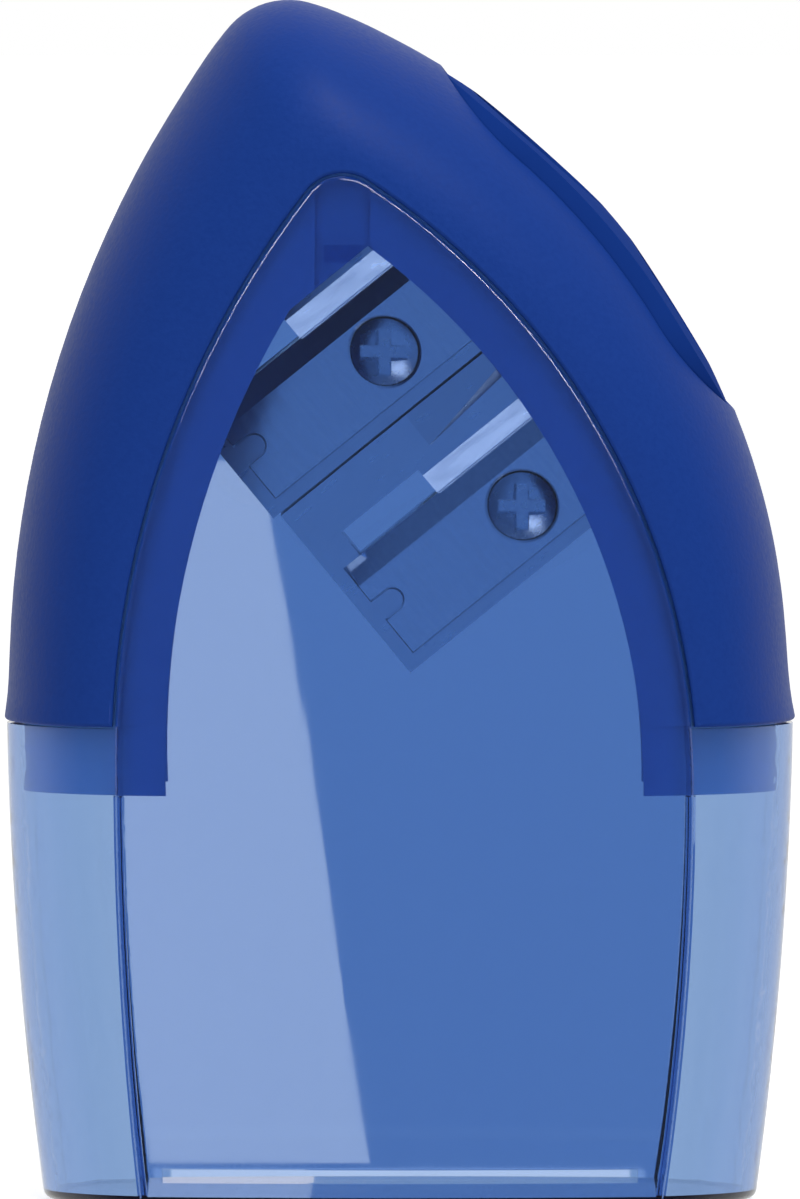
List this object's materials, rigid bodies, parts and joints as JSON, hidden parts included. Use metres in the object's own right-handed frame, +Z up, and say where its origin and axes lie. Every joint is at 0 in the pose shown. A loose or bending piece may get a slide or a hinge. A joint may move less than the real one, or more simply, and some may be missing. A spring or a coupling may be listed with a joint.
{
  "type": "canister pencil sharpener",
  "caption": "Hand-held pencil sharpener: pointed soft-touch cap with angled pencil holes and blade blocks, lifting off a see-through container for shavings.",
  "frame": {"origin": "middle of the container's underside, which rests on the desk", "axes": "+X to the right as seen from the front, +Y from the front to the back, +Z up"},
  "size_m": [0.0548, 0.028, 0.0833],
  "materials": {
    "clear_blue": "clear, polished",
    "carrier_blue": "satin",
    "soft_blue": "soft touch",
    "block_metal": "cast, satin",
    "blade_steel": "ground",
    "screw_steel": "plated"
  },
  "bodies": {
    "container": {"container": "clear_blue"},
    "cap": {"cap_carrier": "carrier_blue", "cap_grip": "soft_blue", "standard_block": "block_metal", "large_block": "block_metal", "standard_blade": "blade_steel", "large_blade": "blade_steel", "standard_screw": "screw_steel", "large_screw": "screw_steel"}
  },
  "joints": [
    {"name": "cap_lift", "type": "slide", "parent": "container", "child": "cap", "axis": [0, 0, 1], "range_m": [0, 0.05]}
  ]
}
